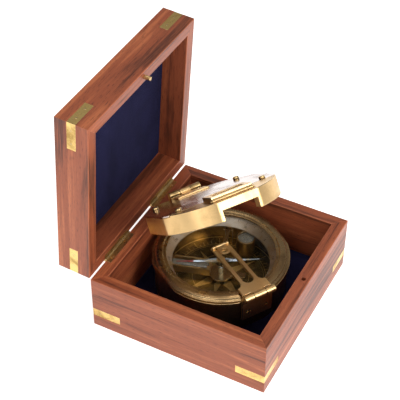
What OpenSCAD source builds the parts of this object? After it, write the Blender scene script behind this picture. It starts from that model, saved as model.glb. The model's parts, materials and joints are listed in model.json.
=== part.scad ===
// Pocket transit compass lying in a hinged hardwood case.
// Origin: middle of the case's underside. X along the hinge edge, Y back to it, Z up.
// Both lids are drawn open, as the object stands on a table.

/* [Case] */
// Length along the hinge edge
case_w = 114; // [108:1:130]
// Depth from front to hinge edge
case_d = 110; // [106:1:130]
// Height of the lower half
base_h = 37; // [36:1:45]
// Height of the lid
lid_h = 20.5; // [20:0.5:30]
// Thickness of the wooden walls
wall_t = 7.5; // [6:0.5:8]
// How far the case lid stands open, in degrees
case_open = 86.4; // [75:0.1:95]

/* [Brass fittings of the case] */
// Length of a corner strap along each face
strap_l = 18; // [12:1:24]
// Width of a corner strap
strap_w = 5.5; // [4:0.5:8]
// Length of each hinge
hinge_l = 27; // [20:1:30]
// Distance of each hinge's middle from the middle of the edge
hinge_x = 26.5; // [20:0.5:32]

/* [Compass] */
// Middle of the compass in the case, X
compass_x = 4; // [3:0.5:5]
// Middle of the compass in the case, Y
compass_y = 3; // [2:0.5:4]
// Turn of the compass in the case, in degrees
compass_turn = -32; // [-34:1:-30]
// Radius of the compass over its lip
lip_r = 40.8; // [40:0.1:41]
// Distance from the middle to each flat
flat_d = 38.9; // [38:0.1:39]
// How far the compass lid stands open, in degrees
cover_open = 37.5; // [20:0.5:40]
// Turn of the needle's red end from the compass's right side, in degrees
needle_turn = 152.5; // [0:0.5:359]
// Turn of the tube level from the compass's right side, in degrees
clino_turn = 139; // [120:1:150]

/* [Sighting arm] */
// Length of the arm from its hinge pin
arm_l = 44.5; // [40:0.5:45]
// Width of the arm at its hinge
arm_base_w = 18.5; // [17:0.5:20]
// Width of the arm's slotted part
arm_w = 11.5; // [10:0.5:12]

/* [Hidden] */
$fn = 96;
gap = 0.2;
clear = 0.05;

half_w = case_w / 2;
half_d = case_d / 2;
board_t = 4.5;
pad_top = 5.8;
lid_z = base_h + gap;
lid_top = lid_z + lid_h;
lid_board_t = 5;
lid_lining_t = 1.1;
strap_t = 1;
strap_z = 11;
lid_strap_z = lid_top - 10.3;

knuckle_r = 1.1;
case_pin_r = 0.55;
leaf_t = 1;
leaf_w = 3.2;
case_axis_y = half_d + 0.6;
case_axis_z = base_h + gap / 2;
mid_knuckle_l = 10.2;
screw_d = 1.8;

stud_r = 1.2;
stud_l = 4;
catch_y = -half_d + wall_t / 2;

// Heights in the compass, all above the case's underside
foot_z = 6;
floor_z = 9;
dial_z = 10.2;
wall_top = 28.5;
bezel_top = 31;
body_r = 39.2;
bore_r = 34.6;
glass_z = 28.9;
glass_r = 33.2;
recess_r = 24;
recess_top = 7.8;
lever_z = 6.2;
lever_t = 1.3;
shaft_r = 2;
hub_z = 11.4;
hub_top = 13;
holder_top = 18.2;
vial_z = 16;
vial_r = 2.5;
rail_from = 6;
rail_to = 31;
needle_z = 22.9;
needle_t = 0.6;
needle_l = 26.4;
pivot_top = 23.6;

level_x = 24.2;
level_y = 10.4;
level_r = 5.8;
level_top = 21.5;

lift_turn = 50;
lift_z = 20.6;
lift_pin_r = 1.2;
lift_axis_r = 29;
lift_axis_z = 20.4;
trunnion_r = 0.5;

// Sighting arm, folded over the glass
arm_axis_y = -42.2;
arm_axis_z = 32.7;
arm_knuckle_r = 2.1;
arm_pin_r = 0.9;
arm_t = 1.5;
arm_z = 32.1;
arm_clear = 2.8;
arm_mid_l = 7.6;
arm_knuckle_l = 20;
slot_l = 29;
slot_w = 6.4;
peep_axis_y = arm_axis_y + arm_l - 1.2;
peep_axis_z = arm_z + arm_t + 0.65;
peep_t = 0.9;
peep_w = 6.2;
peep_slot_w = 6.8;

// Compass lid, in its closed place
cover_z = 31.9;
cover_h = 11.1;
cover_top = cover_z + cover_h;
cover_r = 39.2;
cover_flat = 37.2;
cover_bore_r = 33.4;
cover_plate_t = 0.8;
mirror_z = cover_top - 4;
cover_axis_y = 43.5;
cover_axis_z = 44.6;
// The lid sits back from the middle of the compass, towards its hinge
cover_dx = -1.8;
cover_dy = 3.4;
cover_back = 38.6 - cover_dy;
cover_knuckle_r = 2.1;
cover_pin_r = 1;
cover_hinge_l = 21;
cover_mid_l = 7;
chord_y = -18;
notch_w = 22.4;
notch_h = 6;
stud_x = 27.3;
stud_back_y = 19;
stud_front_y = -15.4;
seat_w = 28;
seat_y = -33;
seat_depth = 1.4;
sight_h = 3.2;
sight_w = 26;
sight_axis_y = -30.6;
sight_axis_z = cover_top + 0.4;

// ---------- placing ----------

// The compass's own frame: X to its right, Y to its lid hinge
module in_compass() {
    translate([compass_x, compass_y, 0]) rotate([0, 0, compass_turn]) children();
}

module case_lid_place() {
    translate([0, case_axis_y, case_axis_z])
        rotate([-case_open, 0, 0])
            translate([0, -case_axis_y, -case_axis_z]) children();
}

module cover_place() {
    in_compass()
        translate([0, cover_axis_y, cover_axis_z])
            rotate([-cover_open, 0, 0])
                translate([0, -cover_axis_y, -cover_axis_z]) children();
}

module in_cover() {
    cover_place() translate([cover_dx, cover_dy, 0]) children();
}

module pair(x) {
    for (side = [-1, 1]) translate([side * x, 0, 0]) children();
}

// A cylinder along X, centred on x = 0
module rod(r, l) {
    rotate([0, 90, 0]) cylinder(r = r, h = l, center = true);
}

// A disc with four flats
module flatted(r, flat, h) {
    intersection() {
        cylinder(r = r, h = h, $fn = 180);
        translate([-flat, -flat, 0]) cube([2 * flat, 2 * flat, h]);
    }
}

// A countersunk screw with its head's top at z = 0, pointing down
module screw(d, l) {
    difference() {
        union() {
            translate([0, 0, -d / 4]) cylinder(r1 = d / 4, r2 = d / 2, h = d / 4, $fn = 32);
            translate([0, 0, -l]) cylinder(r = d / 4, h = l - d / 4, $fn = 32);
        }
        translate([-d, -d * 0.08, -d * 0.12]) cube([2 * d, d * 0.16, d]);
    }
}

// The hole that such a screw fills
module screw_hole(d, l) {
    translate([0, 0, -d / 4]) cylinder(r1 = d / 4, r2 = d / 2, h = d / 4, $fn = 32);
    translate([0, 0, -l]) cylinder(r = d / 4, h = l - d / 4, $fn = 32);
}

// ---------- wooden case ----------

// One wall of a rectangular frame, with mitred ends
module mitred_wall(side, z, h) {
    outer = [[-half_w, -half_d], [half_w, -half_d], [half_w, half_d], [-half_w, half_d]];
    inner = [for (p = outer) [p.x - sign(p.x) * wall_t, p.y - sign(p.y) * wall_t]];
    next = (side + 1) % 4;
    translate([0, 0, z])
        linear_extrude(h) polygon([outer[side], outer[next], inner[next], inner[side]]);
}

// Brass let in flush round all four corners
module straps(z) {
    for (sx = [0, 1], sy = [0, 1])
        translate([-half_w, -half_d, z - strap_w / 2]) {
            translate([sx * (case_w - strap_l), sy * (case_d - strap_t), 0])
                cube([strap_l, strap_t, strap_w]);
            translate([sx * (case_w - strap_t), sy * (case_d - strap_l), 0])
                cube([strap_t, strap_l, strap_w]);
        }
}

// The flat part of a hinge leaf, lying under height z
module leaf_plates(z) {
    pair(hinge_x)
        translate([-hinge_l / 2, half_d - leaf_w, z]) cube([hinge_l, leaf_w, leaf_t]);
}

module leaf_screw_places(z) {
    pair(hinge_x) pair(hinge_l / 3) translate([0, half_d - 1.9, z]) children();
}

// Half-round grooves in the back corner that the knuckles lie in
module knuckle_grooves() {
    pair(hinge_x) translate([0, case_axis_y, case_axis_z]) rod(knuckle_r + 0.15, hinge_l);
}

module base_wall(side) {
    difference() {
        mitred_wall(side, 0, base_h);
        straps(strap_z);
        leaf_plates(base_h - leaf_t);
        leaf_screw_places(base_h) screw_hole(screw_d, 6);
        translate([0, catch_y, base_h - 5]) cylinder(r = stud_r + 0.15, h = 6);
        knuckle_grooves();
    }
}

module base_front_wall() {
    color("#a55d40") base_wall(0);
}

module base_right_wall() {
    color("#a55d40") base_wall(1);
}

module base_back_wall() {
    color("#a55d40") base_wall(2);
}

module base_left_wall() {
    color("#a55d40") base_wall(3);
}

module inner_slab(z, h, shrink) {
    x = half_w - wall_t - shrink;
    y = half_d - wall_t - shrink;
    translate([-x, -y, z]) cube([2 * x, 2 * y, h]);
}

module base_board() {
    color("#8a4a32") inner_slab(0, board_t, 0);
}

module base_lining() {
    color("#15182c") inner_slab(board_t, pad_top - board_t, 0.4);
}

module base_corner_straps() {
    color("#d9b45a") straps(strap_z);
}

// Rods along the hinge axis where one part's knuckles are; part 0 is the outer pair, part 1 the middle one
module case_knuckles(part, r, spare) {
    end_l = (hinge_l - mid_knuckle_l) / 2 - gap;
    end_x = (hinge_l - end_l) / 2;
    pair(hinge_x) translate([0, case_axis_y, case_axis_z])
        if (part == 0) pair(end_x) rod(r, end_l + spare);
        else rod(r, mid_knuckle_l + spare);
}

// Leaf plates notched round the other part's knuckles, with their own knuckles added
module case_leaves(part, z, bore_r) {
    difference() {
        union() {
            difference() {
                leaf_plates(z);
                case_knuckles(1 - part, knuckle_r + 0.15, 2 * gap);
            }
            case_knuckles(part, knuckle_r, 0);
        }
        pair(hinge_x) translate([0, case_axis_y, case_axis_z]) rod(bore_r, hinge_l + 2);
        if (part == 0) leaf_screw_places(base_h) screw_hole(screw_d, 6);
        else leaf_screw_places(lid_z) rotate([180, 0, 0]) screw_hole(screw_d, 6);
    }
}

module base_hinge_leaves() {
    color("#c9a04a") case_leaves(0, base_h - leaf_t, case_pin_r);
}

module base_hinge_screws() {
    color("#d9b45a") leaf_screw_places(base_h) screw(screw_d, 6);
}

module case_hinge_pins() {
    color("#b08a3c")
        pair(hinge_x) translate([0, case_axis_y, case_axis_z]) rod(case_pin_r, hinge_l);
}

// ---------- case lid, built shut ----------

module lid_wall(side) {
    color("#b5694a") case_lid_place() difference() {
        mitred_wall(side, lid_z, lid_h);
        straps(lid_strap_z);
        leaf_plates(lid_z);
        leaf_screw_places(lid_z) rotate([180, 0, 0]) screw_hole(screw_d, 6);
        translate([0, catch_y, lid_z]) cylinder(r = stud_r, h = 5);
        knuckle_grooves();
    }
}

module lid_front_wall() {
    lid_wall(0);
}

module lid_right_wall() {
    lid_wall(1);
}

module lid_back_wall() {
    lid_wall(2);
}

module lid_left_wall() {
    lid_wall(3);
}

module lid_board() {
    color("#8a4a32") case_lid_place() inner_slab(lid_top - lid_board_t, lid_board_t, 0);
}

module lid_lining() {
    color("#1c1a3c") case_lid_place()
        inner_slab(lid_top - lid_board_t - lid_lining_t, lid_lining_t, 0.4);
}

module lid_corner_straps() {
    color("#d9b45a") case_lid_place() straps(lid_strap_z);
}

module catch_stud() {
    color("#c9a04a") case_lid_place() translate([0, catch_y, lid_z]) {
        translate([0, 0, -stud_l]) cylinder(r = stud_r, h = stud_l + 5);
    }
}

module lid_hinge_leaves() {
    color("#c9a04a") case_lid_place() case_leaves(1, lid_z, case_pin_r + clear);
}

module lid_hinge_screws() {
    color("#d9b45a") case_lid_place()
        leaf_screw_places(lid_z) rotate([180, 0, 0]) screw(screw_d, 6);
}

// ---------- compass body ----------

module lift_pin_place() {
    rotate([0, 0, lift_turn]) translate([0, 0, lift_z]) rotate([0, 90, 0]) children();
}

module compass_body() {
    lip_h = 2.4;
    color("#a8854a") in_compass() difference() {
        union() {
            translate([0, 0, foot_z]) flatted(body_r, flat_d, wall_top - foot_z);
            translate([0, 0, wall_top - lip_h]) flatted(lip_r, flat_d, lip_h);
        }
        translate([0, 0, floor_z]) cylinder(r = bore_r, h = wall_top, $fn = 180);
        translate([0, 0, foot_z - 1]) cylinder(r = recess_r, h = recess_top - foot_z + 1);
        cylinder(r = shaft_r + clear, h = wall_top);
        lift_pin_place() cylinder(r = lift_pin_r + clear, h = lip_r + 1);
        bracket_screw_places(flat_d, [18.5, 24.5]) screw_hole(3, 4);
        rotate([0, 0, 180]) bracket_screw_places(flat_d, [19.5]) screw_hole(3, 4);
    }
}

// Places of the screws through a bracket on the back flat, heads outwards
module bracket_screw_places(y, heights) {
    for (z = heights) pair(5.6) translate([0, y, z]) rotate([-90, 0, 0]) children();
}

// Three turned steps hold the glass down
module bezel() {
    color("#b8924f") in_compass() difference() {
        intersection() {
            rotate_extrude($fn = 180) polygon([
                [bore_r, glass_z - 0.4], [lip_r - 0.9, wall_top], [lip_r - 0.9, wall_top + 0.9],
                [38.6, wall_top + 1.3], [38.2, bezel_top - 0.5], [36.9, bezel_top - 0.2],
                [36.5, bezel_top], [34.6, bezel_top], [34.2, bezel_top - 0.5],
                [32.4, bezel_top - 0.7], [32.4, glass_z + 1], [glass_r, glass_z + 1],
                [glass_r, glass_z], [33.4, glass_z - 0.4]
            ]);
            translate([-flat_d, -flat_d, 0]) cube([2 * flat_d, 2 * flat_d, bezel_top]);
        }
        bezel_screw_place() screw_hole(1.8, 3);
    }
}

module bezel_screw_place() {
    turn = 149;
    rotate([0, 0, turn]) translate([35.5, 0, bezel_top]) children();
}

module bezel_screw() {
    color("#6b5430") in_compass() bezel_screw_place() screw(1.8, 1.6);
}

module crystal() {
    color("#dfe8ee", 0.35) in_compass() translate([0, 0, glass_z]) cylinder(r = glass_r, h = 1);
}

// Sloping ring that carries the degree scale
module graduated_ring() {
    color("#b9b2c4") in_compass() rotate_extrude($fn = 180) polygon([
        [29, 23.6], [34.5, 27.2], [34.5, 22.6], [29, 22.6]
    ]);
}

module dial_plate() {
    color("#8f7440") in_compass() difference() {
        translate([0, 0, floor_z]) cylinder(r = bore_r, h = dial_z - floor_z, $fn = 180);
        cylinder(r = 4.5, h = wall_top);
    }
}

module level_cup() {
    color("#a8854a") in_compass() translate([level_x, level_y, dial_z]) difference() {
        cylinder(r = level_r, h = level_top - dial_z);
        translate([0, 0, 3]) cylinder(r = level_r - 0.9, h = level_top);
    }
}

module level_vial() {
    color("#c4ccd2", 0.6) in_compass() translate([level_x, level_y, dial_z + 3])
        cylinder(r = level_r - 0.9, h = level_top - dial_z - 3.4);
}

// Stands on the back flat and carries the outer knuckles of the lid hinge
module cover_bracket() {
    plate_t = 1.6;
    cheek_l = (cover_hinge_l - cover_mid_l) / 2 - gap;
    cheek_x = (cover_hinge_l - cheek_l) / 2;
    color("#c9a04a") in_compass() difference() {
        union() {
            translate([-cover_hinge_l / 2, flat_d, 14]) cube([cover_hinge_l, plate_t, 17]);
            pair(cheek_x) {
                translate([-cheek_l / 2, flat_d, 30])
                    cube([cheek_l, cover_axis_y - flat_d, cover_axis_z - 30]);
                translate([0, cover_axis_y, cover_axis_z]) rod(cover_knuckle_r, cheek_l);
            }
        }
        translate([0, cover_axis_y, cover_axis_z]) rod(cover_pin_r + clear, 30);
        bracket_screw_places(flat_d + plate_t, [18.5, 24.5]) screw_hole(3, 5);
    }
}

module cover_bracket_screws() {
    color("#d9b45a") in_compass() bracket_screw_places(flat_d + 1.6, [18.5, 24.5]) screw(3, 5);
}

// Hangs on the front flat and carries the outer knuckles of the sighting arm
module arm_bracket() {
    plate_t = 1.4;
    cheek_l = (arm_knuckle_l - arm_mid_l) / 2 - gap;
    cheek_x = (arm_knuckle_l - cheek_l) / 2;
    color("#d2ab55") in_compass() difference() {
        union() {
            translate([-arm_knuckle_l / 2, -flat_d - plate_t, 14])
                cube([arm_knuckle_l, plate_t, 16]);
            pair(cheek_x) {
                translate([-cheek_l / 2, -flat_d - 2.4, 28]) cube([cheek_l, 2.4, 3.6]);
                translate([0, arm_axis_y, arm_axis_z]) rod(arm_knuckle_r, cheek_l);
            }
        }
        translate([0, arm_axis_y, arm_axis_z]) rod(arm_pin_r, 30);
        rotate([0, 0, 180]) bracket_screw_places(flat_d + plate_t, [19.5]) screw_hole(3, 5);
    }
}

module arm_bracket_screws() {
    color("#d9b45a") in_compass()
        rotate([0, 0, 180]) bracket_screw_places(flat_d + 1.4, [19.5]) screw(3, 5);
}

module arm_pin() {
    color("#b08a3c")
        in_compass() translate([0, arm_axis_y, arm_axis_z]) rod(arm_pin_r, arm_knuckle_l);
}

// ---------- needle lift ----------

module lift_bracket() {
    color("#a8854a") in_compass() rotate([0, 0, lift_turn]) difference() {
        for (side = [-1, 1])
            translate([lift_axis_r - 1.3, side * 2.3 - 0.6, dial_z]) cube([2.6, 1.2, 11.4]);
        translate([lift_axis_r, 0, lift_axis_z]) rotate([90, 0, 0])
            cylinder(r = trunnion_r + clear, h = 10, center = true);
    }
}

module lift_lever() {
    lever_top = lift_axis_z + 0.6;
    color("#b8924f") in_compass() rotate([0, 0, lift_turn]) difference() {
        union() {
            translate([1.5, -1, lever_top - 1]) cube([30, 2, 1]);
            translate([30.4, -1, lift_axis_z - 2]) cube([1.1, 2, 2.6]);
            translate([0, 0, lever_top - 1]) cylinder(r = 3, h = 1);
            translate([lift_axis_r, 0, lift_axis_z]) rotate([90, 0, 0])
                cylinder(r = trunnion_r, h = 5.8, center = true);
        }
        cylinder(r = 1.9, h = wall_top);
    }
}

module lift_pin() {
    color("#d2ab55") in_compass() lift_pin_place() translate([0, 0, 33.3]) union() {
        cylinder(r = lift_pin_r, h = 8.7);
        cylinder(r = 1.9, h = 1.1);
    }
}

// ---------- clinometer ----------

module clinometer_shaft() {
    color("#b8924f") in_compass() translate([0, 0, lever_z])
        cylinder(r = shaft_r, h = hub_top - lever_z);
}

module clinometer_lever() {
    color("#b8924f") in_compass() rotate([0, 0, clino_turn]) difference() {
        union() {
            translate([0, 0, lever_z]) cylinder(r = 6, h = lever_t);
            translate([0, -2.4, lever_z]) cube([19, 4.8, lever_t]);
            translate([19, 0, lever_z]) cylinder(r = 2.4, h = lever_t);
        }
        cylinder(r = shaft_r, h = 12);
    }
}

module clinometer_hub() {
    color("#a8854a") in_compass() rotate([0, 0, clino_turn]) difference() {
        union() {
            translate([0, 0, hub_z]) cylinder(r = 7, h = hub_top - hub_z);
            translate([-15, -2, hub_z]) cube([12, 4, hub_top - hub_z]);
        }
        cylinder(r = shaft_r, h = 12 + hub_top);
    }
}

// Two rails and two ends round the tube
module tube_level_holder() {
    rail_y = 3.6;
    rail_t = 0.9;
    color("#c9a04a") in_compass() rotate([0, 0, clino_turn]) difference() {
        translate([rail_from, -rail_y - rail_t, hub_top])
            cube([rail_to - rail_from, 2 * (rail_y + rail_t), holder_top - hub_top]);
        translate([rail_from + 2, -rail_y, hub_top - 1])
            cube([rail_to - rail_from - 4, 2 * rail_y, holder_top]);
        translate([rail_from + 0.8, 0, vial_z]) rotate([0, 90, 0])
            cylinder(r = vial_r, h = rail_to - rail_from - 1.6);
    }
}

module tube_level_vial() {
    color("#cdd8b8", 0.7) in_compass() rotate([0, 0, clino_turn])
        translate([rail_from + 0.8, 0, vial_z]) rotate([0, 90, 0])
            cylinder(r = vial_r, h = rail_to - rail_from - 1.6);
}

module pivot_post() {
    color("#d8d8d8") in_compass() translate([0, 0, hub_top]) {
        cylinder(r = 1.6, h = 5);
        translate([0, 0, 5]) cylinder(r1 = 1.2, r2 = 0.15, h = pivot_top - hub_top - 5);
    }
}

// ---------- needle ----------

module in_needle() {
    in_compass() rotate([0, 0, needle_turn]) translate([0, 0, needle_z]) children();
}

// A long lozenge, cut at from and to
module needle_part(from, to) {
    half = 1.9;
    difference() {
        linear_extrude(needle_t) intersection() {
            polygon([[-needle_l, 0], [0, -half], [needle_l, 0], [0, half]]);
            translate([from, -half]) square([to - from, 2 * half]);
        }
        translate([0, 0, -1]) cylinder(r = 1.5, h = 3);
    }
}

module needle_blade() {
    color("#b9cddc") in_needle() needle_part(-needle_l, needle_l * 0.62);
}

module needle_red_end() {
    color("#8c2018") in_needle() needle_part(needle_l * 0.62, needle_l);
}

module needle_cap() {
    color("#d9b45a") in_needle() difference() {
        union() {
            cylinder(r = 1.5, h = 2.2);
            translate([0, 0, needle_t]) cylinder(r = 2.6, h = 0.5);
            translate([0, 0, 2.2]) cylinder(r1 = 1.5, r2 = 0.5, h = 0.7);
        }
        translate([0, 0, -1]) cylinder(r1 = 1.2, r2 = 0.4, h = 2.6);
    }
}

// A few turns of wire wound round the blade
module needle_weight() {
    color("#c9a04a") difference() {
        in_needle() translate([-11, 0, needle_t / 2]) rod(1.3, 2.2);
        needle_blade();
    }
}

// ---------- sighting arm ----------

module sighting_arm() {
    start_y = arm_axis_y + arm_clear;
    shoulder_y = start_y + 6;
    end_y = arm_axis_y + arm_l;
    fillet = (arm_base_w - arm_w) / 2;
    slot_y = shoulder_y + 1 + slot_w / 2;
    color("#d2ab55") in_compass() difference() {
        union() {
            translate([0, 0, arm_z]) linear_extrude(arm_t) difference() {
                union() {
                    translate([-arm_base_w / 2, start_y])
                        square([arm_base_w, shoulder_y + fillet - start_y]);
                    translate([-arm_w / 2, start_y]) square([arm_w, end_y - start_y]);
                }
                for (side = [-1, 1])
                    translate([side * arm_base_w / 2, shoulder_y + fillet]) circle(r = fillet);
                for (y = [slot_y, slot_y + slot_l - slot_w])
                    translate([0, y]) circle(d = slot_w);
                translate([-slot_w / 2, slot_y]) square([slot_w, slot_l - slot_w]);
            }
            translate([-arm_mid_l / 2, arm_axis_y, arm_z]) cube([arm_mid_l, arm_clear, arm_t]);
            translate([0, arm_axis_y, arm_axis_z]) rod(arm_knuckle_r, arm_mid_l);
            pair(arm_w / 2 - 1.2) translate([0, peep_axis_y, peep_axis_z])
                rod(0.9, 1.6);
        }
        translate([0, arm_axis_y, arm_axis_z]) rod(arm_pin_r + clear, 30);
        translate([0, peep_axis_y, peep_axis_z]) rod(0.5, 30);
        translate([-peep_slot_w / 2, peep_axis_y - 1.6, arm_z - 1])
            cube([peep_slot_w, 10, 5]);
    }
}

// Small leaf folded back on the arm's far end, with a round peep hole
module arm_peep() {
    peep_reach = 8;
    color("#dcb65e") in_compass() translate([0, peep_axis_y, 0]) difference() {
        union() {
            translate([0, 0, peep_axis_z]) rod(0.9, peep_w);
            translate([-peep_w / 2, -5, peep_axis_z - 0.4]) cube([peep_w, 5, peep_t]);
            translate([0, -5, peep_axis_z - 0.4]) cylinder(r = peep_reach - 5, h = peep_t);
        }
        translate([0, 0, peep_axis_z]) rod(0.5 + clear, 30);
        translate([0, -5, peep_axis_z - 2]) cylinder(r = 1.6, h = 5);
    }
}

module arm_peep_pin() {
    color("#b08a3c") in_compass() translate([0, peep_axis_y, peep_axis_z]) rod(0.5, arm_w - 0.8);
}

// ---------- compass lid, built shut ----------

// A disc with three flats and a fourth, cut further in, along its back
module cover_outline(h) {
    intersection() {
        flatted(cover_r, cover_flat, h);
        translate([-cover_r, -cover_r, 0]) cube([2 * cover_r, cover_r + cover_back, h]);
    }
}

module cover_shell() {
    color("#cfa552") in_cover() difference() {
        translate([0, 0, cover_z]) cover_outline(cover_h);
        translate([0, 0, cover_z - 1])
            cylinder(r = cover_bore_r, h = mirror_z - cover_z + 1, $fn = 180);
        translate([-notch_w / 2, -cover_r - 1, cover_z - 1])
            cube([notch_w, cover_r, notch_h + 1]);
        translate([0, 0, mirror_z - 1]) cylinder(r = 32, h = 1 + 1.4);
        translate([-cover_r, chord_y, cover_top - cover_plate_t])
            cube([2 * cover_r, 2 * cover_r, cover_plate_t + 1]);
        translate([-cover_r, chord_y - 0.5, cover_top - cover_plate_t])
            cube([2 * cover_r, 0.6, 2]);
        translate([-seat_w / 2, seat_y, cover_top - seat_depth])
            cube([seat_w, chord_y - seat_y, 4]);
        stud_places() translate([0, 0, -2.2]) cylinder(r = 1, h = 4);
    }
}

module stud_places() {
    for (y = [stud_front_y, stud_back_y])
        pair(stud_x) translate([0, y, cover_top]) children();
}

module cover_plate() {
    color("#a58f8a") in_cover() difference() {
        intersection() {
            translate([0, 0, cover_top - cover_plate_t]) cover_outline(cover_plate_t);
            translate([-cover_r, chord_y, 0]) cube([2 * cover_r, 2 * cover_r, cover_top]);
        }
        stud_places() translate([0, 0, -2.2]) cylinder(r = 1, h = 4);
    }
}

module cover_studs() {
    color("#b8924f") in_cover() stud_places() {
        translate([0, 0, -2.2]) cylinder(r = 1, h = 2.4);
        cylinder(r = 1.9, h = 1.4);
        translate([0, 0, 1.4]) cylinder(r1 = 1.9, r2 = 1.3, h = 0.4);
    }
}

module mirror() {
    color("#cdd3da") in_cover() translate([0, 0, mirror_z]) cylinder(r = 32, h = 1.4);
}

module mirror_ring() {
    color("#b8924f") in_cover() translate([0, 0, mirror_z - 1]) difference() {
        cylinder(r = cover_bore_r, h = 1, $fn = 180);
        translate([0, 0, -1]) cylinder(r = 31, h = 3, $fn = 180);
    }
}

module cover_leaf() {
    leaf_h = 0.9;
    color("#d2ab55") cover_place() difference() {
        union() {
            translate([-cover_hinge_l / 2, 30, cover_top])
                cube([cover_hinge_l, cover_flat - 30, leaf_h]);
            translate([-cover_mid_l / 2, 30, cover_top])
                cube([cover_mid_l, cover_axis_y - 30, leaf_h]);
            translate([0, cover_axis_y, cover_axis_z]) rod(cover_knuckle_r, cover_mid_l);
        }
        translate([0, cover_axis_y, cover_axis_z]) rod(cover_pin_r + clear, 30);
    }
}

module cover_pin() {
    color("#b08a3c") in_compass()
        translate([0, cover_axis_y, cover_axis_z]) rod(cover_pin_r, cover_hinge_l);
}

// Folding sight lying in its seat at the lid's free end
module cover_sight() {
    back_y = chord_y - 0.7;
    color("#d9b45a") in_cover() difference() {
        union() {
            translate([-sight_w / 2, sight_axis_y, cover_top - seat_depth + 0.4])
                cube([sight_w, back_y - sight_axis_y, sight_h + 0.6]);
            translate([0, sight_axis_y, sight_axis_z]) rod(1.2, sight_w);
        }
        translate([0, sight_axis_y, sight_axis_z]) rod(0.6 + clear, 40);
        translate([-sight_w / 2 + 3, sight_axis_y + 3, cover_top - 3])
            cube([sight_w - 6, 5.5, 10]);
    }
}

module cover_sight_pin() {
    color("#b08a3c") in_cover()
        translate([0, sight_axis_y, sight_axis_z]) rod(0.6, seat_w);
}

base_front_wall();
base_back_wall();
base_left_wall();
base_right_wall();
base_board();
base_lining();
base_corner_straps();
base_hinge_leaves();
base_hinge_screws();
case_hinge_pins();
lid_front_wall();
lid_back_wall();
lid_left_wall();
lid_right_wall();
lid_board();
lid_lining();
lid_corner_straps();
catch_stud();
lid_hinge_leaves();
lid_hinge_screws();
compass_body();
bezel();
bezel_screw();
crystal();
graduated_ring();
dial_plate();
level_cup();
level_vial();
cover_bracket();
cover_bracket_screws();
arm_bracket();
arm_bracket_screws();
arm_pin();
lift_bracket();
lift_lever();
lift_pin();
clinometer_shaft();
clinometer_lever();
clinometer_hub();
tube_level_holder();
tube_level_vial();
pivot_post();
needle_blade();
needle_red_end();
needle_cap();
needle_weight();
sighting_arm();
arm_peep();
arm_peep_pin();
cover_shell();
cover_plate();
cover_studs();
mirror();
mirror_ring();
cover_leaf();
cover_pin();
cover_sight();
cover_sight_pin();
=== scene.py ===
"""Looks for a pocket transit compass in its velvet-lined hardwood case.

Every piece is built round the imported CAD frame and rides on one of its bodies.
"""

import itertools
import json
import math
import bmesh
import bpy
from mathutils import Matrix, Vector, noise

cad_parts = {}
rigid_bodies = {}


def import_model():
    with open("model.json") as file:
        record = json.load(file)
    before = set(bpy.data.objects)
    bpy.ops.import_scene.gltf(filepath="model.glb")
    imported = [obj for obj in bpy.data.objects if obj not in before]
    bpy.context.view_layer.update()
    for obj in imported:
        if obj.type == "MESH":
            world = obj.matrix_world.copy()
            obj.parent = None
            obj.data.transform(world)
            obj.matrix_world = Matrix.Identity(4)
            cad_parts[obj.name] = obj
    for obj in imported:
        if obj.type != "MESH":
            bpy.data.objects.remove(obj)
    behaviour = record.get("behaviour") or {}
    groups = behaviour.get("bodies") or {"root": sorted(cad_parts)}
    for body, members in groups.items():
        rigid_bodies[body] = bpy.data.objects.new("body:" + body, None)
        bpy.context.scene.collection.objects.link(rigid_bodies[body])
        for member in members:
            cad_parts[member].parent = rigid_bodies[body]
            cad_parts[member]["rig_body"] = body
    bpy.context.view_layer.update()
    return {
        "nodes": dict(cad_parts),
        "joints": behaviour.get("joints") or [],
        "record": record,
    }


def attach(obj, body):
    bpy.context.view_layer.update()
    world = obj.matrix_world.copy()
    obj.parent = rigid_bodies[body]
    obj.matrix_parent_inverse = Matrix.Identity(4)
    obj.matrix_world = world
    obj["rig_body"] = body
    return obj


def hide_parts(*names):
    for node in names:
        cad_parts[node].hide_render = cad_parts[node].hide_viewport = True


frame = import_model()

MM = 0.001
IDENTITY = Matrix.Identity(4)
JOINTS = {joint["name"]: joint for joint in frame["joints"]}
SLOT_OF = {part["node"]: part["material_slot"] for part in frame["record"]["subparts"]}
BODY_OF = {name: obj["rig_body"] for name, obj in frame["nodes"].items()}


# ---------- local frames, all taken from the joints ----------


def joint_at(name):
    return Vector(JOINTS[name]["pos_m"])


def turned_about_x(point, angle):
    """Rotation about the X line through a point."""
    there = Matrix.Translation(point)
    return there @ Matrix.Rotation(angle, 4, "X") @ there.inverted()


CASE_OPEN = -math.radians(JOINTS["case_lid_hinge"]["range_deg"][0])
COVER_RATIO = next(
    c["ratio"]
    for c in frame["record"]["behaviour"]["couplings"]
    if c["joint"] == "cover_pressed_by_lid"
)
ARM_AXIS = Vector(JOINTS["sighting_arm_swing"]["axis"])
CENTRE = joint_at("needle_spin")
COMPASS = Matrix.Translation((CENTRE.x, CENTRE.y, 0)) @ Matrix.Rotation(
    math.atan2(ARM_AXIS.y, ARM_AXIS.x), 4, "Z"
)
CASE_LID = turned_about_x(joint_at("case_lid_hinge"), -CASE_OPEN)
COVER = COMPASS @ turned_about_x(
    COMPASS.inverted() @ joint_at("compass_cover_hinge"), -CASE_OPEN * COVER_RATIO
)


def local_box(node, place):
    """Lowest and highest corner of a CAD node in a local frame."""
    back = place.inverted()
    points = [back @ v.co for v in frame["nodes"][node].data.vertices]
    lo = Vector([min(p[i] for p in points) for i in range(3)])
    hi = Vector([max(p[i] for p in points) for i in range(3)])
    return lo, hi


# ---------- camera, light and floor ----------

AIM = Vector((0.0031, 0.0167, 0.0660))
CAMERA_DISTANCE = 0.6671
CAMERA_AZIMUTH = math.radians(62.468)
CAMERA_ELEVATION = math.radians(42.14)
CAMERA_ROLL = math.radians(0.274)
CAMERA_LENS = 105.07

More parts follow.
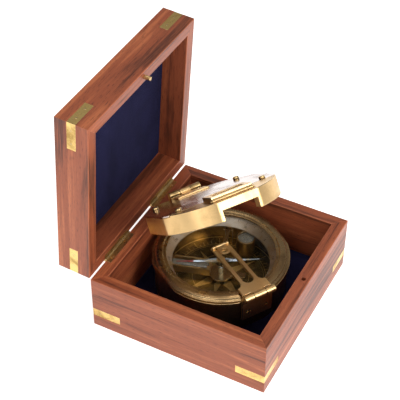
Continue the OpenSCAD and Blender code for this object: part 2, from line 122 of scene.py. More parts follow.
# name, direction from the object, distance, side of the square, power
LIGHTS = (
    ("key", (-0.15, -0.9, 0.55), 0.9, 0.5, 4.6),
    ("fill", (-0.9, -0.1, 0.5), 1.0, 0.6, 2.4),
    ("top", (0.1, 0.1, 1.0), 1.1, 0.7, 3.2),
)
# (height on the surround, grey)
SURROUND_GREYS = ((0.0, 1.0), (0.25, 0.8), (0.55, 0.42), (1.0, 0.6))
SURROUND_STRENGTH = 0.5
FLOOR_HALF = 4
FLOOR_GLOW = 0.75


def make_camera():
    data = bpy.data.cameras.new("camera")
    data.lens = CAMERA_LENS
    data.sensor_width = 36
    camera = bpy.data.objects.new("camera", data)
    bpy.context.scene.collection.objects.link(camera)
    level = math.cos(CAMERA_ELEVATION)
    forward = Vector(
        (
            math.sin(CAMERA_AZIMUTH) * level,
            math.cos(CAMERA_AZIMUTH) * level,
            -math.sin(CAMERA_ELEVATION),
        )
    )
    turn = forward.to_track_quat("-Z", "Y").to_matrix().to_4x4()
    roll = Matrix.Rotation(CAMERA_ROLL, 4, "Z")
    camera.matrix_world = Matrix.Translation(AIM - forward * CAMERA_DISTANCE) @ turn @ roll
    bpy.context.scene.camera = camera


def area_light(name, direction, distance, size, power):
    """A square softbox that looks at the object from a direction."""
    data = bpy.data.lights.new(name, "AREA")
    data.size = size
    data.energy = power
    lamp = bpy.data.objects.new(name, data)
    bpy.context.scene.collection.objects.link(lamp)
    out = Vector(direction).normalized()
    turn = (-out).to_track_quat("-Z", "Y").to_matrix().to_4x4()
    lamp.matrix_world = Matrix.Translation(AIM + out * distance) @ turn


def make_world():
    """A pale surround, white to the horizon and greyest halfway up, that metal can mirror."""
    world = bpy.data.worlds.new("studio")
    bpy.context.scene.world = world
    world.use_nodes = True
    tree = world.node_tree
    coord = tree.nodes.new("ShaderNodeTexCoord")
    split = tree.nodes.new("ShaderNodeSeparateXYZ")
    ramp = tree.nodes.new("ShaderNodeValToRGB")
    tree.links.new(coord.outputs["Generated"], split.inputs[0])
    tree.links.new(split.outputs["Z"], ramp.inputs[0])
    tree.links.new(ramp.outputs[0], tree.nodes["Background"].inputs["Color"])
    fill_ramp(ramp, [(at, (grey, grey, grey)) for at, grey in SURROUND_GREYS])
    tree.nodes["Background"].inputs["Strength"].default_value = SURROUND_STRENGTH


def make_floor():
    """White floor with enough glow of its own to stay white in its shadows."""
    bm = bmesh.new()
    bmesh.ops.create_grid(bm, x_segments=8, y_segments=8, size=FLOOR_HALF)
    mesh = bpy.data.meshes.new("floor")
    bm.to_mesh(mesh)
    bm.free()
    floor = bpy.data.objects.new("floor", mesh)
    bpy.context.scene.collection.objects.link(floor)
    white = bpy.data.materials.new("floor_white")
    white.use_nodes = True
    shader = white.node_tree.nodes["Principled BSDF"]
    shader.inputs["Base Color"].default_value = (0.9, 0.9, 0.9, 1)
    shader.inputs["Roughness"].default_value = 0.9
    shader.inputs["Emission Color"].default_value = (1, 1, 1, 1)
    shader.inputs["Emission Strength"].default_value = FLOOR_GLOW
    mesh.materials.append(white)


def make_studio():
    bpy.context.scene.view_settings.view_transform = "Standard"
    make_world()
    for light in LIGHTS:
        area_light(*light)
    make_floor()


# ---------- materials ----------


def fill_ramp(node, stops):
    """Sets a colour ramp to (place, colour) stops."""
    elements = node.color_ramp.elements
    while len(elements) < len(stops):
        elements.new(0.5)
    for element, (at, colour) in zip(elements, stops):
        element.position = at
        element.color = (*colour, 1)


class Graph:
    """A material's node tree with short ways to add what the finishes need."""

    def __init__(self, name, **sockets):
        self.material = bpy.data.materials.new(name)
        self.material.use_nodes = True
        self.tree = self.material.node_tree
        self.shader = self.tree.nodes["Principled BSDF"]
        self.coord = self.node("ShaderNodeTexCoord").outputs["Object"]
        for socket, value in sockets.items():
            self.set(socket.replace("_", " "), value)

    def node(self, kind, **settings):
        made = self.tree.nodes.new(kind)
        for key, value in settings.items():
            setattr(made, key, value)
        return made

    def feed(self, socket, value):
        if isinstance(value, bpy.types.NodeSocket):
            self.tree.links.new(value, socket)
        elif hasattr(value, "__len__") and len(value) == 3 and socket.type == "RGBA":
            socket.default_value = (*value, 1)
        else:
            socket.default_value = value

    def set(self, socket, value):
        self.feed(self.shader.inputs[socket], value)

    def stretch(self, scale, turn=(0, 0, 0)):
        made = self.node("ShaderNodeMapping")
        self.feed(made.inputs["Vector"], self.coord)
        self.feed(made.inputs["Scale"], scale)
        self.feed(made.inputs["Rotation"], turn)
        return made.outputs[0]

    def noise(self, scale, vector=None, detail=3.0, rough=0.5, bend=0.0):
        made = self.node("ShaderNodeTexNoise")
        self.feed(made.inputs["Vector"], self.coord if vector is None else vector)
        for socket, value in (
            ("Scale", scale),
            ("Detail", detail),
            ("Roughness", rough),
            ("Distortion", bend),
        ):
            self.feed(made.inputs[socket], value)
        return made.outputs["Fac"]

    def rings(self, scale):
        """Noise that changes only with the distance from local Z, as turning leaves."""
        flat = self.stretch((1, 1, 0))
        length = self.node("ShaderNodeVectorMath", operation="LENGTH")
        self.feed(length.inputs[0], flat)
        made = self.node("ShaderNodeTexNoise", noise_dimensions="1D")
        self.feed(made.inputs["W"], length.outputs["Value"])
        self.feed(made.inputs["Scale"], scale)
        self.feed(made.inputs["Detail"], 3.0)
        return made.outputs["Fac"]

    def math(self, operation, a, b):
        made = self.node("ShaderNodeMath", operation=operation)
        self.feed(made.inputs[0], a)
        self.feed(made.inputs[1], b)
        return made.outputs[0]

    def span(self, value, low, high, to_low=0.0, to_high=1.0):
        """Maps low..high to to_low..to_high, clamped."""
        made = self.node("ShaderNodeMapRange")
        for index, given in enumerate((value, low, high, to_low, to_high)):
            self.feed(made.inputs[index], given)
        return made.outputs[0]

    def ramp(self, value, stops):
        made = self.node("ShaderNodeValToRGB")
        fill_ramp(made, stops)
        self.feed(made.inputs[0], value)
        return made.outputs[0]

    def mix(self, share, a, b):
        made = self.node("ShaderNodeMix", data_type="RGBA")
        self.feed(made.inputs["Factor"], share)
        self.feed(made.inputs[6], a)
        self.feed(made.inputs[7], b)
        return made.outputs[2]

    def bump(self, height, distance, strength=1.0, under=None):
        made = self.node("ShaderNodeBump")
        self.feed(made.inputs["Height"], height)
        self.feed(made.inputs["Distance"], distance)
        self.feed(made.inputs["Strength"], strength)
        if under is not None:
            self.feed(made.inputs["Normal"], under)
        self.set("Normal", made.outputs[0])
        return made.outputs[0]


def wood(name, dark, mid, light, worn=0.0):
    """Oiled rosewood with its grain along the local X axis."""
    g = Graph(name, Coat_Weight=0.12, Coat_Roughness=0.3, Specular_IOR_Level=0.35)
    figure = g.noise(60, g.stretch((0.09, 1, 1)), 3, 0.55, 1.2)
    streak = g.noise(300, g.stretch((0.035, 1, 1)), 5, 0.62, 0.4)
    fibre = g.noise(2300, g.stretch((0.035, 1, 1)), 2, 0.6)
    pore = g.noise(3300, g.stretch((0.07, 1, 1)), 1, 0.5)
    band = g.math("ADD", g.math("MULTIPLY", figure, 0.5), g.math("MULTIPLY", streak, 0.5))
    colour = g.ramp(band, [(0.40, dark), (0.48, mid), (0.53, mid), (0.61, light)])
    colour = g.mix(g.span(fibre, 0.35, 0.7, 0.0, 0.3), colour, light)
    colour = g.mix(g.span(pore, 0.6, 0.7, 0.0, 0.65), colour, dark)
    if worn:
        colour = g.mix(worn, colour, tuple(min(1, 1.25 * c + 0.02) for c in light))
    g.set("Base Color", colour)
    g.set("Roughness", g.span(streak, 0.3, 0.7, 0.5, 0.36))
    grain = g.math("SUBTRACT", fibre, g.span(pore, 0.6, 0.7))
    g.bump(grain, 0.00004, 0.5)
    return g.material


def brass(name, bright, dull, shine, clouds=(0.42, 0.66), turned=0.0, brushed=0.0):
    """Metal with tarnish in clouds and specks, and fine tool marks.

    shine is the lowest and highest roughness.
    """
    g = Graph(name, Metallic=1.0)
    cloud = g.noise(70, None, 5, 0.62, 0.6)
    speck = g.noise(1500, None, 2, 0.5)
    stain = g.math("ADD", g.math("MULTIPLY", cloud, 0.8), g.math("MULTIPLY", speck, 0.2))
    share = g.span(stain, *clouds)
    g.set("Base Color", g.mix(share, bright, dull))
    g.set("Roughness", g.span(share, 0, 1, *shine))
    marks = g.noise(2600, g.stretch((0.03, 1, 1), (0, 0, 0.6)), 2)
    normal = g.bump(marks, 0.00001, 0.35)
    if brushed:
        lines = g.noise(3200, g.stretch((0.02, 1, 1)), 3)
        normal = g.bump(lines, 0.00001 * brushed, 1.0, normal)
    if turned:
        normal = g.bump(g.rings(5200), 0.00001 * turned, 1.0, normal)
    g.bump(g.noise(160, None, 2), 0.00001, 0.5, normal)
    return g.material


def velvet(name, pile, lit, sheen_tint):
    g = Graph(
        name,
        Roughness=0.95,
        Sheen_Weight=0.55,
        Sheen_Roughness=0.4,
        Sheen_Tint=sheen_tint,
        Specular_IOR_Level=0.1,
    )
    brush = g.noise(38, g.stretch((1, 0.35, 1)), 4, 0.6, 1.2)
    tuft = g.noise(1900, None, 3, 0.7)
    # painted sheen: brush patches lighten the pile towards the lit colour; painted shade: tufts
    # darken it up to halfway towards a darker copy of the pile colour
    colour = g.mix(g.span(brush, 0.35, 0.7), pile, lit)
    shade = tuple(c * 0.35 for c in pile)
    g.set("Base Color", g.mix(g.span(tuft, 0.45, 0.75, 0, 0.5), colour, shade))
    g.bump(tuft, 0.00025, 0.8)
    return g.material


def glass(name, colour, alpha, roughness=0.04):
    g = Graph(name, Base_Color=colour, Alpha=alpha, IOR=1.6, Specular_IOR_Level=0.9)
    smear = g.noise(60, None, 3, 0.6)
    g.set("Roughness", g.span(smear, 0.4, 0.7, roughness, roughness + 0.08))
    g.bump(g.noise(45, None, 1), 0.00002, 0.3)
    return g.material


def paint(name, colour, speck_colour, roughness):
    g = Graph(name, Coat_Weight=0.4, Coat_Roughness=0.15)
    chips = g.noise(2500, None, 3, 0.6)
    g.set("Base Color", g.mix(g.span(chips, 0.58, 0.72), colour, speck_colour))
    g.set("Roughness", g.span(chips, 0.3, 0.7, roughness, roughness + 0.2))
    g.bump(chips, 0.00001, 0.5)
    return g.material


# dark, middle and light colours of the grain
CASE_GRAIN = ((0.075, 0.017, 0.008), (0.31, 0.074, 0.029), (0.50, 0.145, 0.055))
BOARD_GRAIN = ((0.05, 0.013, 0.007), (0.15, 0.040, 0.019), (0.24, 0.072, 0.032))
EDGE_WEAR = 0.35

# clean colour, tarnished colour, (lowest, highest) roughness, and what else brass() takes
METALS = {
    "strap_brass": (
        (0.86, 0.60, 0.22),
        (0.46, 0.29, 0.09),
        (0.3, 0.5),
        {"clouds": (0.44, 0.62), "brushed": 2.0},
    ),
    "hinge_brass": ((0.72, 0.50, 0.22), (0.28, 0.17, 0.07), (0.26, 0.5), {}),
    "screw_brass": ((0.80, 0.58, 0.27), (0.34, 0.22, 0.09), (0.22, 0.42), {"turned": 1.0}),
    "body_brass": ((0.42, 0.27, 0.12), (0.16, 0.095, 0.045), (0.28, 0.5), {"turned": 2.0}),
    "bezel_brass": ((0.42, 0.27, 0.125), (0.18, 0.11, 0.05), (0.26, 0.46), {"turned": 3.0}),
    "bright_brass": (
        (0.80, 0.54, 0.25),
        (0.60, 0.39, 0.17),
        (0.34, 0.5),
        {"clouds": (0.46, 0.72), "brushed": 2.0},
    ),
    "plate_brass": (
        (0.52, 0.43, 0.40),
        (0.28, 0.20, 0.16),
        (0.14, 0.32),
        {"clouds": (0.46, 0.68)},
    ),
    "dial_brass": (
        (0.33, 0.225, 0.075),
        (0.07, 0.048, 0.02),
        (0.3, 0.5),
        {"clouds": (0.4, 0.62)},
    ),
    "rose_brass": ((0.86, 0.62, 0.24), (0.40, 0.28, 0.10), (0.35, 0.55), {}),
    "silvered": (
        (0.60, 0.51, 0.40),
        (0.46, 0.30, 0.12),
        (0.3, 0.48),
        {"clouds": (0.45, 0.7), "turned": 1.5},
    ),
    "needle_steel": ((0.66, 0.76, 0.84), (0.46, 0.52, 0.56), (0.16, 0.3), {"brushed": 1.0}),
    "mirror_glass": (
        (0.84, 0.86, 0.88),
        (0.70, 0.72, 0.74),
        (0.02, 0.08),
        {"clouds": (0.55, 0.8)},
    ),
    "rubbed_brass": ((0.84, 0.60, 0.31), (0.62, 0.42, 0.19), (0.2, 0.36), {}),
}
RUBBED_METALS = (
    "strap_brass",
    "hinge_brass",
    "screw_brass",
    "body_brass",
    "bezel_brass",
    "bright_brass",
    "plate_brass",
)


def make_finishes():
    """Each slot's finish, and the rubbed finish of its edges."""
    main = {
        "case_wood": wood("rosewood_case", *CASE_GRAIN),
        "lid_wood": wood("rosewood_lid", *CASE_GRAIN),
        "board_wood": wood("rosewood_board", *BOARD_GRAIN),
        "velvet": velvet(
            "navy_velvet", (0.006, 0.006, 0.022), (0.014, 0.014, 0.050), (0.10, 0.10, 0.26)
        ),
        "red_paint": paint("red_paint", (0.33, 0.03, 0.02), (0.12, 0.02, 0.015), 0.3),
        "dial_marks": paint("dial_marks", (0.02, 0.018, 0.015), (0.06, 0.05, 0.04), 0.4),
        "clear_glass": glass("clear_glass", (0.03, 0.025, 0.012), 0.06),
        "level_glass": glass("level_glass", (0.40, 0.38, 0.31), 0.5),
    }
    for name, (clean, tarnished, shine, more) in METALS.items():
        main[name] = brass(name, clean, tarnished, shine, **more)
    rubbed = {
        "case_wood": wood("rosewood_case_edge", *CASE_GRAIN, EDGE_WEAR),
        "lid_wood": wood("rosewood_lid_edge", *CASE_GRAIN, EDGE_WEAR),
    }
    for slot in RUBBED_METALS:
        rubbed[slot] = main["rubbed_brass"]
    return main, rubbed


# ---------- making pieces ----------


def add_piece(
    bm, name, body, slot, place=IDENTITY, replaces=(), sharp=35, bevel=0.0, segments=2
):
    """Turns a mesh, drawn in the local frame of place, into a piece that rides on a body.

    slot names the finish. Edges that carry a bevel weight are rounded to bevel; a piece with
    no bevel is shaded sharp at edges over sharp degrees.
    """
    bmesh.ops.recalc_face_normals(bm, faces=bm.faces)
    mesh = bpy.data.meshes.new(name)
    bm.to_mesh(mesh)
    bm.free()
    for extra in ("custom_normal", "sharp_face", "sharp_edge"):
        if extra in mesh.attributes:
            mesh.attributes.remove(mesh.attributes[extra])
    mesh.shade_smooth()
    mesh.materials.clear()
    mesh.materials.append(FINISH[slot])
    mesh.materials.append(RUBBED.get(slot, FINISH[slot]))
    obj = bpy.data.objects.new(name, mesh)
    bpy.context.scene.collection.objects.link(obj)
    obj.matrix_world = place
    if bevel:
        edges = obj.modifiers.new("edges", "BEVEL")
        edges.limit_method = "WEIGHT"
        edges.width = bevel
        edges.segments = segments
        edges.use_clamp_overlap = False
        edges.material = 1
        normals = obj.modifiers.new("normals", "WEIGHTED_NORMAL")
        normals.keep_sharp = True
    else:
        mesh.set_sharp_from_angle(angle=math.radians(sharp))
    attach(obj, body)
    if replaces:
        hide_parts(*replaces)
    return obj


def node_mesh(node, place):
    """A CAD node's own shape in a local frame, with whole flat faces."""
    bm = bmesh.new()
    bm.from_mesh(frame["nodes"][node].data)
    bmesh.ops.remove_doubles(bm, verts=bm.verts, dist=2e-6)
    bmesh.ops.dissolve_limit(
        bm, angle_limit=math.radians(0.6), verts=bm.verts, edges=bm.edges
    )
    bm.transform(place.inverted())
    for face in bm.faces:
        face.material_index = 0
    return bm


def weigh_edges(bm, rule=None):
    """Marks the edges to round. rule gives an edge's share of the full width."""
    bm.normal_update()
    layer = bm.edges.layers.float.get("bevel_weight_edge") or bm.edges.layers.float.new(
        "bevel_weight_edge"
    )
    for edge in bm.edges:
        if len(edge.link_faces) == 2 and edge.calc_face_angle(0) > math.radians(33):
            edge[layer] = rule(edge) if rule else 1.0


def refine(node, width, place, change=None):
    """Rebuilds a CAD node with its edges rounded to width mm and its own finish."""
    bm = node_mesh(node, place)
    if change:
        change(bm)
    weigh_edges(bm)
    add_piece(
        bm, "fine_" + node, BODY_OF[node], SLOT_OF[node], place, (node,), bevel=width * MM
    )


def lathe(profile, segments=48, bm=None, at=(0, 0, 0), turn=IDENTITY):
    """Turns (radius, height) points in mm about Z. A closed profile gives a ring."""
    bm = bm or bmesh.new()
    rings = []
    for radius, height in profile:
        if radius < 1e-6:
            rings.append([bm.verts.new((0, 0, height * MM))])
            continue
        rings.append(
            [
                bm.verts.new(
                    (
                        radius * MM * math.cos(2 * math.pi * i / segments),
                        radius * MM * math.sin(2 * math.pi * i / segments),
                        height * MM,
                    )
                )
                for i in range(segments)
            ]
        )
    for a, b in zip(rings, rings[1:]):
        for i in range(segments):
            j = (i + 1) % segments
            quad = [a[i % len(a)], a[j % len(a)], b[j % len(b)], b[i % len(b)]]
            corners = list(dict.fromkeys(quad))
            if len(corners) > 2:
                bm.faces.new(corners)
    made = [v for ring in rings for v in ring]
    bmesh.ops.transform(bm, verts=made, matrix=Matrix.Translation(Vector(at) * MM) @ turn)
    return bm


def tube(points, radius, segments):
    """A round wire along points in mm, closed at both ends."""
    bm = bmesh.new()
    points = [Vector(p) * MM for p in points]
    rings = []
    for i, point in enumerate(points):
        ahead = points[min(i + 1, len(points) - 1)] - points[max(i - 1, 0)]
        turn = ahead.to_track_quat("Z", "Y").to_matrix()
        ring = []
        for k in range(segments):
            angle = 2 * math.pi * k / segments
            spoke = Vector((math.cos(angle), math.sin(angle), 0)) * radius * MM
            ring.append(bm.verts.new(point + turn @ spoke))
        rings.append(ring)
    for a, b in zip(rings, rings[1:]):
        for k in range(segments):
            j = (k + 1) % segments
            bm.faces.new((a[k], a[j], b[j], b[k]))
    bm.faces.new(rings[0])
    bm.faces.new(rings[-1])
    return bm


def slab(bm, place, outline, thickness):
    """A thin plate: an outline of (x, y) points in mm, its underside at place's z = 0."""
    low = [bm.verts.new(place @ (Vector((x, y, 0)) * MM)) for x, y in outline]
    high = [bm.verts.new(place @ (Vector((x, y, thickness)) * MM)) for x, y in outline]
    bm.faces.new(low)
    bm.faces.new(high)
    for i in range(len(low)):
        j = (i + 1) % len(low)
        bm.faces.new((low[i], low[j], high[j], high[i]))


def flat_ring(bm, radius, width, z, height, segments=120):
    """A thin raised circle on a dial, in mm."""
    half = width / 2
    lathe(
        [
            (radius - half, z),
            (radius - half, z + height),
            (radius + half, z + height),
            (radius + half, z),
            (radius - half, z),
        ],
        segments,
        bm,
    )


def digits(bm, text, size, place):
    """Plain numerals as thin mesh, centred on place."""
    curve = bpy.data.curves.new("digits", "FONT")
    curve.body = text
    curve.size = size * MM
    curve.align_x = "CENTER"
    curve.align_y = "CENTER"
    curve.extrude = 0.02 * MM
    curve.resolution_u = 3
    holder = bpy.data.objects.new("digits", curve)
    bpy.context.scene.collection.objects.link(holder)
    bpy.context.view_layer.update()
    drawn = holder.evaluated_get(bpy.context.evaluated_depsgraph_get())
    mesh = bpy.data.meshes.new_from_object(drawn)
    mesh.transform(place)
    bm.from_mesh(mesh)
    bpy.data.objects.remove(holder)
    bpy.data.curves.remove(curve)
    bpy.data.meshes.remove(mesh)


# ---------- the case ----------

# how far apart in the grain neighbouring boards are cut, in metres
PLANK_STEP = (0.37, 0.21, 0.11)
BOARD_ROUNDING = 0.45


def is_mitre(face):
    return 0.6 < abs(face.normal.x) < 0.8 and 0.6 < abs(face.normal.y) < 0.8


def make_board(node, place, along_y, number):
    """A wall of the case, its grain along its length and cut from its own part of the plank."""
    grain = Matrix.Rotation(math.pi / 2 if along_y else 0.0, 4, "Z")
    shift = Matrix.Translation(Vector(PLANK_STEP) * number)
    lo, hi = local_box(node, place)
    long_edge = 0.6 * max(hi - lo)

    def rule(edge):
        if any(is_mitre(face) for face in edge.link_faces):
            return 0.25
        return 1.0 if edge.calc_length() > long_edge else 0.12

    bm = node_mesh(node, place)
    weigh_edges(bm, rule)
    local = (grain @ shift).inverted()
    bm.transform(local)
    add_piece(
        bm,
        "fine_" + node,
        BODY_OF[node],
        SLOT_OF[node],
        place @ grain @ shift,
        (node,),
        bevel=BOARD_ROUNDING * MM,
        segments=3,
    )


def make_boards():
    number = 0
    for half, place in (("base", IDENTITY), ("lid", CASE_LID)):
        for side in ("front_wall", "right_wall", "back_wall", "left_wall", "board"):
            number += 1
            make_board(f"{half}_{side}", place, side in ("right_wall", "left_wall"), number)


STRAP_SUNK = 0.05
STRAP_PIN_HEAD = [(0, 0), (0.35, -0.01), (0.62, -0.03), (0.72, -0.1), (0.72, -0.5), (0, -0.5)]
# distances of each leg's pins from the corner
STRAP_PINS_AT = (5.2, 13.8)


def make_straps(node, place):
    """Corner straps a hair below the wood, each leg held by two small pins."""
    lo, hi = local_box(node, place)
    centre = (lo + hi) / 2
    half = (hi - lo) / 2

    def sink(bm):
        for v in bm.verts:
            for axis in (0, 1):
                out = v.co[axis] - centre[axis]
                if abs(out) > half[axis] - 0.5 * MM:
                    v.co[axis] -= math.copysign(STRAP_SUNK * MM, out)

    refine(node, 0.12, place, sink)
    bm = bmesh.new()
    for sx, sy in itertools.product((-1, 1), repeat=2):
        for from_corner in STRAP_PINS_AT:
            for out, along in ((Vector((sx, 0, 0)), (0, 1)), (Vector((0, sy, 0)), (1, 0))):
                point = centre.copy()
                point.x += sx * (half.x - from_corner * MM * along[0])
                point.y += sy * (half.y - from_corner * MM * along[1])
                point -= out * 0.01 * MM
                turn = out.to_track_quat("Z", "Y").to_matrix().to_4x4()
                lathe(STRAP_PIN_HEAD, 16, bm, point / MM, turn)
    pins = node.replace("corner_straps", "strap_pins")
    add_piece(bm, pins, BODY_OF[node], "screw_brass", place)


LINING_CELLS = 72
# width of the edge that turns down, and the height of the cloth's slight waves
LINING_ROLL = 1.1
LINING_WAVE = 0.12


def make_lining(node, place, name):
    """Velvet glued over card: a flat sheet whose edges turn down, inside its CAD solid."""
    lo, hi = local_box(node, place)
    inset = 0.15 * MM
    roll = LINING_ROLL * MM
    cells = LINING_CELLS
    if place is CASE_LID:
        top, down = lo.z + 0.06 * MM, 1
    else:
        top, down = hi.z - 0.06 * MM, -1
    depth = (hi.z - lo.z) * 0.9
    bm = bmesh.new()
    grid = []
    for i in range(cells + 1):
        row = []
        for j in range(cells + 1):
            # cells are narrower near the border, where the cloth turns down
            s, t = (0.5 - 0.5 * math.cos(math.pi * k / cells) for k in (i, j))
            x = lo.x + inset + (hi.x - lo.x - 2 * inset) * s
            y = lo.y + inset + (hi.y - lo.y - 2 * inset) * t
            rim = min(x - lo.x, hi.x - x, y - lo.y, hi.y - y) - inset
            fall = max(0.0, 1 - rim / roll) ** 2 * depth
            wave = LINING_WAVE * MM * noise.noise(Vector((x, y, top)) * 60)
            row.append(bm.verts.new((x, y, top + down * (fall + abs(wave)))))
        grid.append(row)
    for a, b in zip(grid, grid[1:]):
        for k in range(cells):
            bm.faces.new((a[k], b[k], b[k + 1], a[k + 1]))
    sheet = add_piece(bm, name, BODY_OF[node], "velvet", place, (node,), sharp=80)


# ---------- the compass ----------


def make_scale():
    """Degree marks and numbers on the sloping ring."""
    inner, outer, low, high = 29.0, 34.5, 23.6, 27.2
    slope = math.atan2(high - low, outer - inner)
    length = math.hypot(high - low, outer - inner)
    bm = bmesh.new()
    for degree in range(0, 360):
        reach = 2.3 if degree % 10 == 0 else 1.7 if degree % 5 == 0 else 1.1
        width = 0.16 if degree % 10 == 0 else 0.1
        place = (
            Matrix.Rotation(math.radians(degree), 4, "Z")
            @ Matrix.Translation(Vector((inner, 0, low)) * MM)
            @ Matrix.Rotation(-slope, 4, "Y")
            @ Matrix.Translation(Vector((0, 0, -0.02)) * MM)
        )
        start, end = length - 0.5 - reach, length - 0.5
        box = [(start, -width / 2), (end, -width / 2), (end, width / 2), (start, width / 2)]
        slab(bm, place, box, 0.045)
        if degree % 30 == 0:
            at = place @ Matrix.Translation(Vector((2.0, 0, 0.03)) * MM)
            digits(bm, str(degree), 2.0, at @ Matrix.Rotation(-math.pi / 2, 4, "Z"))
    add_piece(bm, "scale_marks", "compass", "dial_marks", COMPASS)


def make_dial_rose():
    """Circles, marks and an eight-pointed star raised by a hair on the dial plate."""
    top = local_box("dial_plate", COMPASS)[1].z / MM - 0.01
    on_dial = Matrix.Translation((0, 0, top * MM))
    bm = bmesh.new()
    for radius, width in ((33.2, 0.5), (27.0, 0.35), (25.8, 0.2), (17.0, 0.3)):
        flat_ring(bm, radius, width, top, 0.06)
    for degree in range(0, 360, 5):
        reach = 5.2 if degree % 30 == 0 else 3.2 if degree % 10 == 0 else 1.8
        outer = 27 + reach
        place = Matrix.Rotation(math.radians(degree), 4, "Z") @ on_dial
        slab(bm, place, [(27, -0.14), (outer, -0.14), (outer, 0.14), (27, 0.14)], 0.06)
    for point in range(8):
        reach, waist = (24.5, 2.6) if point % 2 == 0 else (16.5, 2.0)
        place = Matrix.Rotation(math.pi / 4 * point, 4, "Z") @ on_dial
        for side in (-1, 1):
            half = [(5.0, 0), (reach, 0), (7.5, side * waist)]
            slab(bm, place, half, 0.06 if side > 0 else 0.03)
    add_piece(bm, "dial_rose", "compass", "rose_brass", COMPASS, sharp=20)


def blade_length(x0, x1, tip, half=1.9, edge=0.22, ridge=0.6):
    """Part of the needle from x0 to x1: a ridged blade that narrows evenly to its tips."""
    bm = bmesh.new()
    stations = [x0 + (x1 - x0) * k / 24 for k in range(25)]
    if x0 < 0 < x1:
        stations = sorted(set(stations + [0.0]))
    rows = []
    for x in stations:
        w = max(half * (1 - abs(x) / tip), 0.02)
        outline = ((x, -w, 0), (x, -w, edge), (x, 0, ridge), (x, w, edge), (x, w, 0))
        rows.append([bm.verts.new(Vector(p) * MM) for p in outline])
    for a, b in zip(rows, rows[1:]):
        for k in range(5):
            j = (k + 1) % 5
            bm.faces.new((a[k], a[j], b[j], b[k]))
    bm.faces.new(rows[0])
    bm.faces.new(rows[-1])
    return bm


def make_needle():
    """Blade with a raised ridge, in its steel and red lengths, and the wire weight."""
    hub = joint_at("needle_spin")
    ends = local_box("needle_red_end", IDENTITY)
    red = (ends[0] + ends[1]) / 2 - hub
    needle = Matrix.Translation(hub) @ Matrix.Rotation(math.atan2(red.y, red.x), 4, "Z")
    lo, hi = local_box("needle_red_end", needle)
    start, tip = lo.x / MM, hi.x / MM
    for name, x0, x1, node in (
        ("blade_ridged", -tip, start, "needle_blade"),
        ("red_end_ridged", start, tip, "needle_red_end"),
    ):
        blade = blade_length(x0, x1, tip)
        add_piece(blade, name, "needle", SLOT_OF[node], needle, (node,), sharp=12)
    lo, hi = local_box("needle_weight", needle)
    turns, steps, wire = 5, 20, 0.2
    wind = [
        (
            (lo.x / MM + wire) + (hi.x - lo.x - 2 * wire * MM) / MM * k / (turns * steps),
            1.08 * math.cos(2 * math.pi * k / steps),
            0.3 + 0.62 * math.sin(2 * math.pi * k / steps),
        )
        for k in range(turns * steps + 1)
    ]
    weight = tube(wind, wire, 8)
    add_piece(weight, "weight_wire", "needle", "bright_brass", needle, ("needle_weight",))


def make_round_level():
    """Glass, bubble and ring of the round level in the dial."""
    lo, hi = local_box("level_vial", COMPASS)
    centre = (lo + hi) / 2
    top, floor = hi.z / MM, lo.z / MM + 0.02
    radius = (hi.x - lo.x) / 2 / MM
    side = radius - 0.02
    at = (centre.x / MM, centre.y / MM, 0)
    dome = [(0, top + 0.3), (radius * 0.5, top + 0.2), (radius * 0.85, top)]
    dome += [(side, top - 0.35), (side, floor), (0, floor)]
    glass = lathe(dome, 48, None, at)
    add_piece(glass, "round_level_glass", "compass", "level_glass", COMPASS, ("level_vial",))
    bubble = [(0, -0.16), (0.9, -0.1), (1.35, 0.1), (1.2, 0.3), (0.7, 0.4), (0, 0.42)]
    bm = lathe([(r, top - 0.7 + z) for r, z in bubble], 32, None, at)
    add_piece(bm, "round_level_bubble", "compass", "clear_glass", COMPASS)
    bm = bmesh.new()
    ring = [(1.9, 0), (1.9, 0.08), (2.1, 0.08), (2.1, 0), (1.9, 0)]
    lathe([(r, top - 0.55 + z) for r, z in ring], 48, bm, at)
    add_piece(bm, "round_level_ring", "compass", "dial_marks", COMPASS)


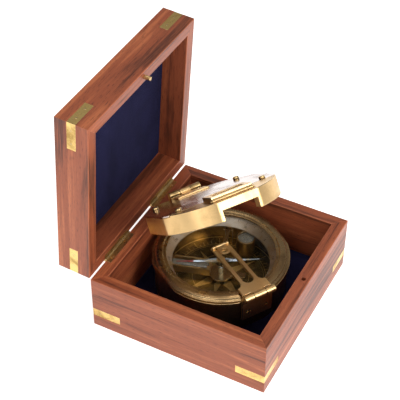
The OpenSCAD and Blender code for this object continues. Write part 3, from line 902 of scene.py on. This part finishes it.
def make_tube_level():
    """Glass, bubble and two lines of the tube level that turns with the clinometer."""
    origin = (0, 0, 0)
    hub = joint_at("clinometer_turn")
    vial = frame["nodes"]["tube_level_vial"].data.vertices
    middle = sum((v.co for v in vial), Vector()) / len(vial) - hub
    heading = Matrix.Rotation(math.atan2(middle.y, middle.x), 4, "Z")
    clinometer = Matrix.Translation(hub) @ heading
    lo, hi = local_box("tube_level_vial", clinometer)
    x0, x1 = lo.x / MM, hi.x / MM
    z = (lo.z + hi.z) / 2 / MM
    r = (hi.z - lo.z) / 2 / MM - 0.05
    lay_down = Matrix.Rotation(math.pi / 2, 4, "Y")
    lying = Matrix.Translation(Vector((0, 0, z)) * MM) @ lay_down
    shape = [(0, x0), (r * 0.6, x0 + 0.15), (r, x0 + 1.1)]
    shape += [(r, x1 - 1.1), (r * 0.6, x1 - 0.15), (0, x1)]
    glass = lathe(shape, 32, None, origin, lying)
    replaced = ("tube_level_vial",)
    add_piece(glass, "tube_level_glass", "clinometer", "level_glass", clinometer, replaced)
    mid = (x0 + x1) / 2
    blob = [(0, mid - 3.6), (0.6, mid - 3.2), (0.8, mid - 2)]
    blob += [(0.8, mid + 2), (0.6, mid + 3.2), (0, mid + 3.6)]
    high = Matrix.Translation(Vector((0, 0, z + r - 1.0)) * MM) @ lay_down
    bubble = lathe(blob, 24, None, origin, high)
    add_piece(bubble, "tube_level_bubble", "clinometer", "clear_glass", clinometer)
    bm = bmesh.new()
    inner, outer = r + 0.01, r + 0.04
    for x in (mid - 4.4, mid + 4.4):
        left, right = x - 0.12, x + 0.12
        band = [(inner, left), (outer, left), (outer, right), (inner, right), (inner, left)]
        lathe(band, 32, bm, origin, lying)
    add_piece(bm, "tube_level_lines", "clinometer", "dial_marks", clinometer)


# Rounding of each node's edges in mm, by local frame
ROUNDED = (
    (
        IDENTITY,
        {"base_hinge_leaves": 0.12, "base_hinge_screws": 0.05, "case_hinge_pins": 0.08},
    ),
    (CASE_LID, {"catch_stud": 0.3, "lid_hinge_leaves": 0.12, "lid_hinge_screws": 0.05}),
    (
        COMPASS,
        {
            "compass_body": 0.2,
            "bezel": 0.12,
            "bezel_screw": 0.04,
            "crystal": 0.1,
            "graduated_ring": 0.1,
            "dial_plate": 0.1,
            "level_cup": 0.12,
            "cover_bracket": 0.2,
            "cover_bracket_screws": 0.05,
            "arm_bracket": 0.2,
            "arm_bracket_screws": 0.05,
            "arm_pin": 0.1,
            "lift_bracket": 0.12,
            "lift_lever": 0.12,
            "lift_pin": 0.12,
            "clinometer_shaft": 0.1,
            "clinometer_lever": 0.15,
            "clinometer_hub": 0.15,
            "tube_level_holder": 0.12,
            "pivot_post": 0.1,
            "needle_cap": 0.08,
            "sighting_arm": 0.15,
            "arm_peep": 0.12,
            "arm_peep_pin": 0.06,
            "cover_pin": 0.12,
        },
    ),
    (
        COVER,
        {
            "cover_shell": 0.35,
            "cover_plate": 0.1,
            "cover_studs": 0.12,
            "mirror": 0.1,
            "mirror_ring": 0.1,
            "cover_leaf": 0.15,
            "cover_sight": 0.18,
            "cover_sight_pin": 0.08,
        },
    ),
)

make_camera()
make_studio()
FINISH, RUBBED = make_finishes()
make_boards()
make_straps("base_corner_straps", IDENTITY)
make_straps("lid_corner_straps", CASE_LID)
make_lining("base_lining", IDENTITY, "base_velvet")
make_lining("lid_lining", CASE_LID, "lid_velvet")
for place, widths in ROUNDED:
    for node, width in widths.items():
        refine(node, width, place)
make_scale()
make_dial_rose()
make_needle()
make_round_level()
make_tube_level()
